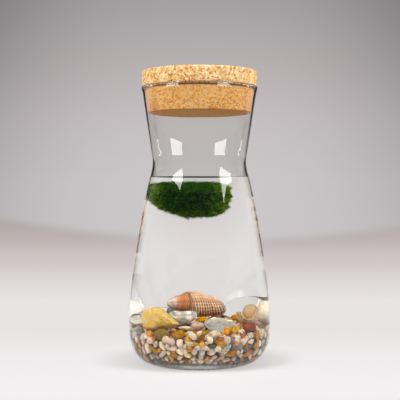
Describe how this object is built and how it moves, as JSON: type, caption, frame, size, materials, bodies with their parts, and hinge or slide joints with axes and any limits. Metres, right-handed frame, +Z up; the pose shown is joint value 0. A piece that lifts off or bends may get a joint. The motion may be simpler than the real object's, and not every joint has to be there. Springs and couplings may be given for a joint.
{
  "type": "marimo moss ball in a corked glass carafe",
  "caption": "Marimo moss ball afloat in a corked, waisted glass carafe of clear water, above a bed of mixed gravel with sea shells, stones and clear glass nuggets.",
  "frame": {"origin": "on the surface that the carafe stands on, under the middle of its foot", "axes": "+Z up along the carafe's own axis, -Y towards the viewer of the picture, +X to the right in the picture"},
  "size_m": [0.0894, 0.0894, 0.1845],
  "materials": {
    "carafe_glass": "clear blown glass, fire polished",
    "cork": "natural cork, sanded",
    "water": "clear water",
    "moss": "dense green filaments",
    "gravel": "mixed water-worn gravel, wet",
    "yellow_stone": "broken yellow stone with pits",
    "grey_stone": "water-worn, wet",
    "tan_stone": "water-worn, wet",
    "ochre_stone": "water-worn, wet",
    "brown_stone": "water-worn, wet",
    "cream_stone": "water-worn, wet",
    "red_stone": "broken red-brown stone",
    "nugget_glass": "clear glass, polished",
    "whelk_shell": "peach shell with fine brown spiral cords",
    "turban_shell": "gold and lavender shell, glossy",
    "cream_shell": "cream shell",
    "white_shell": "bleached ribbed shell"
  },
  "bodies": {
    "root": {"carafe": "carafe_glass", "cork_stopper": "cork", "water": "water", "moss_ball": "moss", "gravel_bed": "gravel", "yellow_stone": "yellow_stone", "grey_stone": "grey_stone", "back_slate_stone": "grey_stone", "orange_tan_pebble": "tan_stone", "upright_orange_pebble": "tan_stone", "orange_chip": "tan_stone", "olive_brown_pebble": "ochre_stone", "tan_pebble": "ochre_stone", "olive_gold_pebble": "ochre_stone", "brown_oval_pebble": "brown_stone", "back_brown_pebble": "brown_stone", "white_flat_pebble": "cream_stone", "peach_pebble": "cream_stone", "large_white_pebble": "cream_stone", "back_cream_pebble": "cream_stone", "red_stone": "red_stone", "nugget_bowl": "nugget_glass", "nugget_front": "nugget_glass", "nugget_back_disc": "nugget_glass", "nugget_left_upper": "nugget_glass", "nugget_left_lower": "nugget_glass", "nugget_back_left": "nugget_glass", "whelk_shell": "whelk_shell", "turban_shell": "turban_shell", "cream_shell": "cream_shell", "white_shell": "white_shell"}
  },
  "joints": []
}
